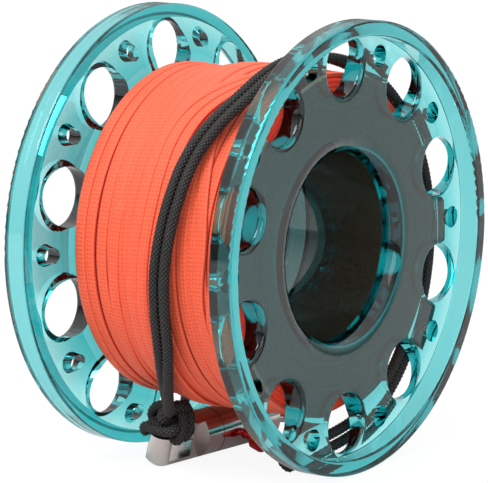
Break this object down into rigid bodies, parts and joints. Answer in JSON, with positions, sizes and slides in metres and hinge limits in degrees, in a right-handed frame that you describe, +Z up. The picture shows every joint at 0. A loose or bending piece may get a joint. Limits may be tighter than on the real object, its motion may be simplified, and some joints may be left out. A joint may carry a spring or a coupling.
{
  "type": "diver's finger spool",
  "caption": "Flanged finger spool in clear plastic, wound with braided line, with a doubled elastic loop and a small sliding-bolt snap.",
  "frame": {"origin": "middle of the finger bore, on the spool's axis", "axes": "+X along the bore to the right flange, +Z up from the floor that the rims stand on, +Y away from the elastic's front run"},
  "size_m": [0.0607, 0.1, 0.1],
  "materials": {
    "clear_cyan": "clear tinted polycarbonate, polished",
    "orange_line": "flat braided line",
    "black_cord": "braided cover over elastic",
    "polished_steel": "polished stainless steel",
    "red_knob": "red anodised",
    "spring_steel": "drawn spring wire"
  },
  "bodies": {
    "spool": {"right_spool_half": "clear_cyan", "left_spool_half": "clear_cyan", "line_winding": "orange_line", "line_anchor_knot": "orange_line", "line_outer_end": "orange_line", "elastic_loop": "black_cord", "elastic_hitch": "black_cord", "elastic_end_knot": "black_cord", "snap_hook": "polished_steel", "snap_barrel": "polished_steel", "gate_spring": "spring_steel", "end_plug": "polished_steel"},
    "gate": {"snap_gate": "polished_steel", "thumb_knob": "red_knob"},
    "swivel": {"swivel_eye": "polished_steel"}
  },
  "joints": [
    {"name": "gate_slide", "type": "slide", "parent": "spool", "child": "gate", "axis": [0.1278, 0.9918, 0], "range_m": [0, 0.0071], "stiffness_N_per_m": 400, "springref_m": -0.002, "deforming": ["gate_spring"]},
    {"name": "swivel_turn", "type": "hinge", "parent": "spool", "child": "swivel", "pos_m": [-0.01107, -0.02286, -0.04475], "axis": [0.1278, 0.9918, 0], "continuous": true}
  ]
}
